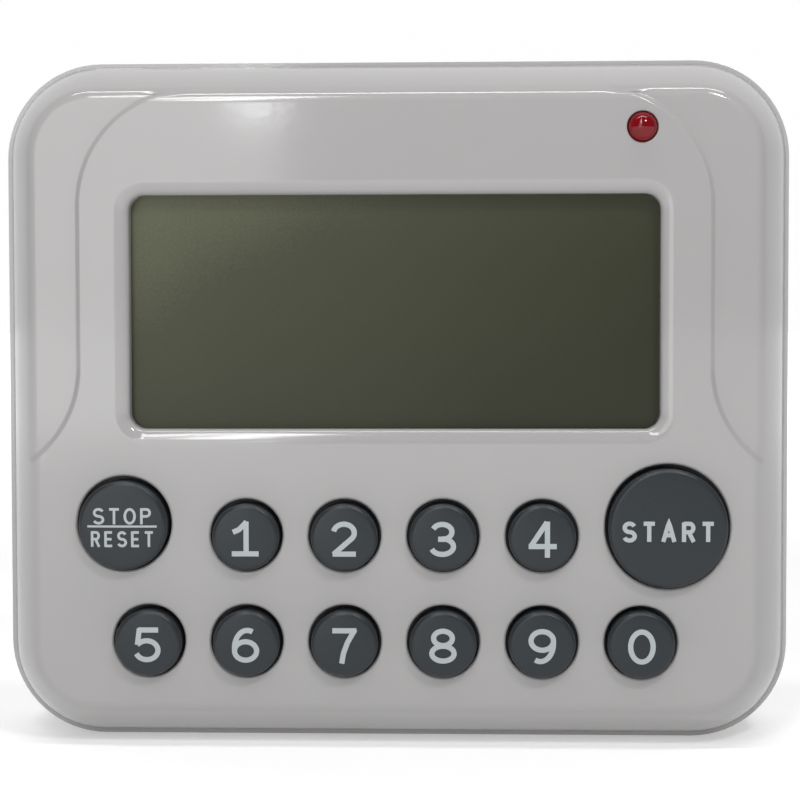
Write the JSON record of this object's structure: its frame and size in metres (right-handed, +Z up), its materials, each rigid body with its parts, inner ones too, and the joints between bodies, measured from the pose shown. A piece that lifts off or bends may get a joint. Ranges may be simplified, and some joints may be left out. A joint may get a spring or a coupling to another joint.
{
  "type": "digital kitchen timer",
  "caption": "Slim digital kitchen timer with a number pad, start and stop keys, display, signal lamp, battery door, flip-out stand and back magnets.",
  "frame": {"origin": "middle of the timer's box, at the height of its bottom edge, which it stands on", "axes": "+X to the right of the face, +Y from the face towards the back, +Z up the face"},
  "size_m": [0.0804, 0.0232, 0.0695],
  "materials": {
    "housing": "glossy moulded ABS, very light warm grey",
    "key": "satin moulded ABS, dark slate grey",
    "lamp": "clear red epoxy",
    "polariser": "olive polariser film",
    "display_glass": "clear float glass",
    "reflector": "metallised film",
    "holder": "white moulded plastic",
    "rubber": "grey silicone rubber",
    "carbon": "carbon filled rubber",
    "board": "green solder mask on glass-epoxy board",
    "resin": "black epoxy resin",
    "component": "small ceramic parts",
    "steel": "nickel plated steel",
    "brass": "rolled brass",
    "ceramic": "silvered ceramic",
    "sleeve": "printed shrink sleeve",
    "red_wire": "red wire covering",
    "black_wire": "black wire covering"
  },
  "bodies": {
    "case": {"front_shell": "housing", "back_shell": "housing", "lcd_front_polariser": "polariser", "lcd_front_glass": "display_glass", "lcd_rear_glass": "display_glass", "lcd_reflector": "reflector", "lcd_holder": "holder", "contact_strip": "rubber", "circuit_board": "board", "chip_cover": "resin", "crystal": "steel", "board_components": "component", "keypad_mat": "rubber", "led_lens": "lamp", "led_leads": "steel", "sounder_disc": "brass", "sounder_ceramic": "ceramic", "sounder_wire_red": "red_wire", "sounder_wire_black": "black_wire", "battery_can": "steel", "battery_sleeve": "sleeve", "battery_spring": "steel", "battery_contact": "steel", "battery_wire_red": "red_wire", "battery_wire_black": "black_wire", "magnets": "steel", "case_screws": "steel", "board_screws": "steel"},
    "key_0": {"key_0": "key", "carbon_pill_0": "carbon"},
    "key_1": {"key_1": "key", "carbon_pill_1": "carbon"},
    "key_2": {"key_2": "key", "carbon_pill_2": "carbon"},
    "key_3": {"key_3": "key", "carbon_pill_3": "carbon"},
    "key_4": {"key_4": "key", "carbon_pill_4": "carbon"},
    "key_5": {"key_5": "key", "carbon_pill_5": "carbon"},
    "key_6": {"key_6": "key", "carbon_pill_6": "carbon"},
    "key_7": {"key_7": "key", "carbon_pill_7": "carbon"},
    "key_8": {"key_8": "key", "carbon_pill_8": "carbon"},
    "key_9": {"key_9": "key", "carbon_pill_9": "carbon"},
    "start_key": {"start_key": "key", "carbon_pill_start": "carbon"},
    "stop_reset_key": {"stop_reset_key": "key", "carbon_pill_stop": "carbon"},
    "battery_door": {"battery_door": "housing", "battery_door_latch": "housing"},
    "stand": {"stand": "housing"}
  },
  "joints": [
    {"name": "key_0_press", "type": "slide", "parent": "case", "child": "key_0", "axis": [0, 1, 0], "range_m": [0, 0.00085], "stiffness_N_per_m": 1200, "deforming": ["keypad_mat"]},
    {"name": "key_1_press", "type": "slide", "parent": "case", "child": "key_1", "axis": [0, 1, 0], "range_m": [0, 0.00085], "stiffness_N_per_m": 1200, "deforming": ["keypad_mat"]},
    {"name": "key_2_press", "type": "slide", "parent": "case", "child": "key_2", "axis": [0, 1, 0], "range_m": [0, 0.00085], "stiffness_N_per_m": 1200, "deforming": ["keypad_mat"]},
    {"name": "key_3_press", "type": "slide", "parent": "case", "child": "key_3", "axis": [0, 1, 0], "range_m": [0, 0.00085], "stiffness_N_per_m": 1200, "deforming": ["keypad_mat"]},
    {"name": "key_4_press", "type": "slide", "parent": "case", "child": "key_4", "axis": [0, 1, 0], "range_m": [0, 0.00085], "stiffness_N_per_m": 1200, "deforming": ["keypad_mat"]},
    {"name": "key_5_press", "type": "slide", "parent": "case", "child": "key_5", "axis": [0, 1, 0], "range_m": [0, 0.00085], "stiffness_N_per_m": 1200, "deforming": ["keypad_mat"]},
    {"name": "key_6_press", "type": "slide", "parent": "case", "child": "key_6", "axis": [0, 1, 0], "range_m": [0, 0.00085], "stiffness_N_per_m": 1200, "deforming": ["keypad_mat"]},
    {"name": "key_7_press", "type": "slide", "parent": "case", "child": "key_7", "axis": [0, 1, 0], "range_m": [0, 0.00085], "stiffness_N_per_m": 1200, "deforming": ["keypad_mat"]},
    {"name": "key_8_press", "type": "slide", "parent": "case", "child": "key_8", "axis": [0, 1, 0], "range_m": [0, 0.00085], "stiffness_N_per_m": 1200, "deforming": ["keypad_mat"]},
    {"name": "key_9_press", "type": "slide", "parent": "case", "child": "key_9", "axis": [0, 1, 0], "range_m": [0, 0.00085], "stiffness_N_per_m": 1200, "deforming": ["keypad_mat"]},
    {"name": "start_key_press", "type": "slide", "parent": "case", "child": "start_key", "axis": [0, 1, 0], "range_m": [0, 0.00085], "stiffness_N_per_m": 1200, "deforming": ["keypad_mat"]},
    {"name": "stop_reset_key_press", "type": "slide", "parent": "case", "child": "stop_reset_key", "axis": [0, 1, 0], "range_m": [0, 0.00085], "stiffness_N_per_m": 1200, "deforming": ["keypad_mat"]},
    {"name": "battery_door_hinge", "type": "hinge", "parent": "case", "child": "battery_door", "pos_m": [0, 0.01165, 0.0474], "axis": [-1, 0, 0], "range_deg": [0, 80], "deforming": ["battery_door_latch"]},
    {"name": "stand_hinge", "type": "hinge", "parent": "case", "child": "stand", "pos_m": [0, 0.01015, 0.0372], "axis": [1, 0, 0], "range_deg": [0, 35]}
  ]
}
